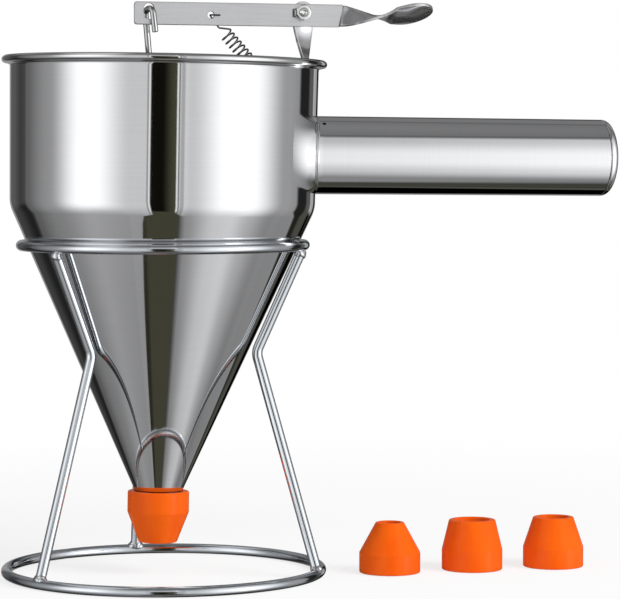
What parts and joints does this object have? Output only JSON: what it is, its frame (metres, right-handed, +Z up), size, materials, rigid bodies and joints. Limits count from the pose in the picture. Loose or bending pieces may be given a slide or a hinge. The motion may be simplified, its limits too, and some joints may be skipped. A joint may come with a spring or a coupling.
{
  "type": "funnel dispenser",
  "caption": "Polished steel batter funnel with a tube handle, sprung thumb lever, rod and stopper, resting in a wire stand, with a fitted orange nozzle and spares.",
  "frame": {"origin": "bottom centre of the bounding box, on the surface that the stand rests on", "axes": "+Z up, +X along the handle from the funnel to its closed end, -Y towards the side with the nut of the lever's pivot"},
  "size_m": [0.306, 0.157, 0.277],
  "materials": {
    "polished_steel": "mirror polished stainless steel",
    "satin_steel": "satin stainless steel strip and rod",
    "plated_steel": "bright plated fasteners",
    "chromed_wire": "bright chromed wire",
    "spring_steel": "dull spring wire",
    "orange_plastic": "smooth orange plastic, soft gloss"
  },
  "bodies": {
    "stand": {"base_ring": "chromed_wire", "upper_ring": "chromed_wire", "leg_front_right": "chromed_wire", "leg_back": "chromed_wire", "leg_front_left": "chromed_wire"},
    "funnel": {"funnel_shell": "polished_steel", "spout_collar": "polished_steel", "handle_tube": "polished_steel", "handle_end_cap": "polished_steel", "lever_bracket": "satin_steel", "pivot_screw": "plated_steel", "pivot_washer": "plated_steel", "pivot_nut": "plated_steel"},
    "lever": {"thumb_lever": "satin_steel", "return_spring": "spring_steel"},
    "rod": {"pull_rod": "satin_steel", "stopper": "satin_steel"},
    "nozzle": {"fitted_nozzle": "orange_plastic"},
    "spare_1": {"spare_nozzle_1": "orange_plastic"},
    "spare_2": {"spare_nozzle_2": "orange_plastic"},
    "spare_3": {"spare_nozzle_3": "orange_plastic"}
  },
  "joints": [
    {"name": "funnel_lift", "type": "slide", "parent": "stand", "child": "funnel", "axis": [0, 0, 1], "range_m": [0, 0.16]},
    {"name": "lever_pivot", "type": "hinge", "parent": "funnel", "child": "lever", "pos_m": [-0.0065, -0.0029, 0.27124], "axis": [0, 1, 0], "range_deg": [0, 20], "stiffness_Nm_per_rad": 0.5, "springref_deg": -11.46, "deforming": ["return_spring"]},
    {"name": "rod_hinge", "type": "hinge", "parent": "lever", "child": "rod", "pos_m": [-0.0819, -0.0029, 0.2725], "axis": [0, 1, 0], "range_deg": [-18.83, 0]},
    {"name": "nozzle_pull", "type": "slide", "parent": "funnel", "child": "nozzle", "axis": [-0.0175, 0, -0.9998], "range_m": [0, 0.013]},
    {"name": "spare_1_lift", "type": "slide", "parent": "stand", "child": "spare_1", "axis": [0, 0, 1], "range_m": [0, 0.05]},
    {"name": "spare_2_lift", "type": "slide", "parent": "stand", "child": "spare_2", "axis": [0, 0, 1], "range_m": [0, 0.05]},
    {"name": "spare_3_lift", "type": "slide", "parent": "stand", "child": "spare_3", "axis": [0, 0, 1], "range_m": [0, 0.05]}
  ],
  "couplings": [
    {"joint": "rod_hinge", "follows": "lever_pivot", "ratio": -0.9415}
  ]
}
